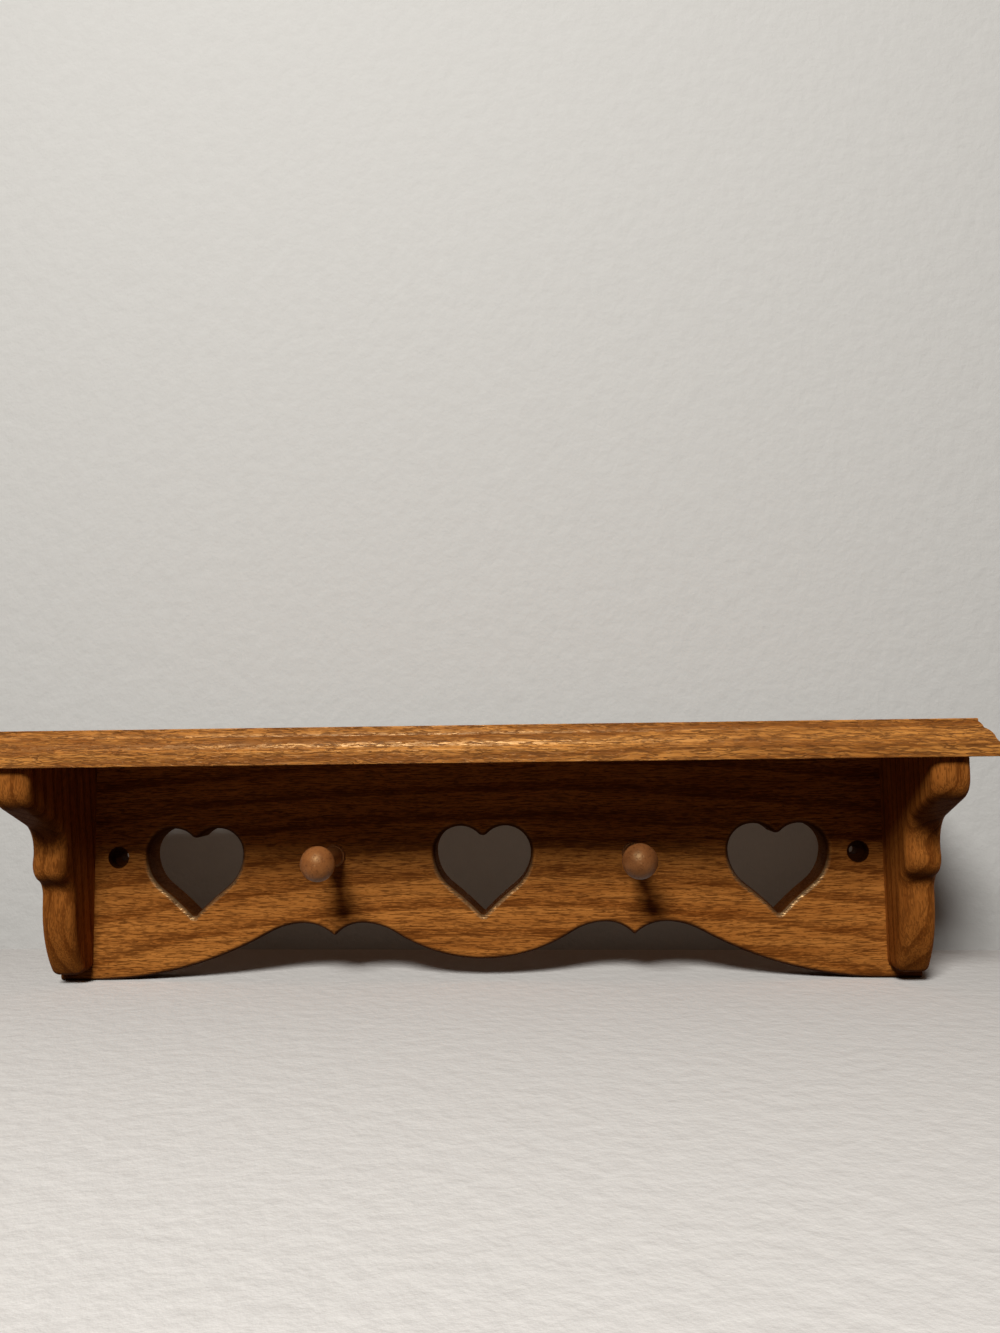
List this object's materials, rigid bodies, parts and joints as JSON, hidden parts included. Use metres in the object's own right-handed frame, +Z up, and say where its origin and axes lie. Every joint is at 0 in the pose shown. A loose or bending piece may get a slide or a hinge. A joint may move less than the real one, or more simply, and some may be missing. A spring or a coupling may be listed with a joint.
{
  "type": "wall shelf with pegs",
  "caption": "Oak wall shelf: moulded top board on a scalloped back board with heart cut-outs, scrolled end brackets and turned hanging pegs.",
  "frame": {"origin": "on the wall plane, midway between the two wall screw holes", "axes": "+X to the right along the shelf, +Y into the wall, +Z up"},
  "size_m": [0.52, 0.107, 0.144],
  "materials": {
    "oak_shelf": "golden oak stain, satin varnish",
    "oak_back": "golden oak stain, satin varnish",
    "oak_bracket": "golden oak stain, satin varnish",
    "birch_peg": "turned birch, stained, satin varnish",
    "zinc_screw": "zinc plated",
    "beech_dowel": "bare beech"
  },
  "bodies": {
    "root": {"shelf_board": "oak_shelf", "back_board": "oak_back", "left_bracket": "oak_bracket", "right_bracket": "oak_bracket", "left_peg": "birch_peg", "right_peg": "birch_peg", "bracket_screws": "zinc_screw", "shelf_dowels": "beech_dowel"}
  },
  "joints": []
}
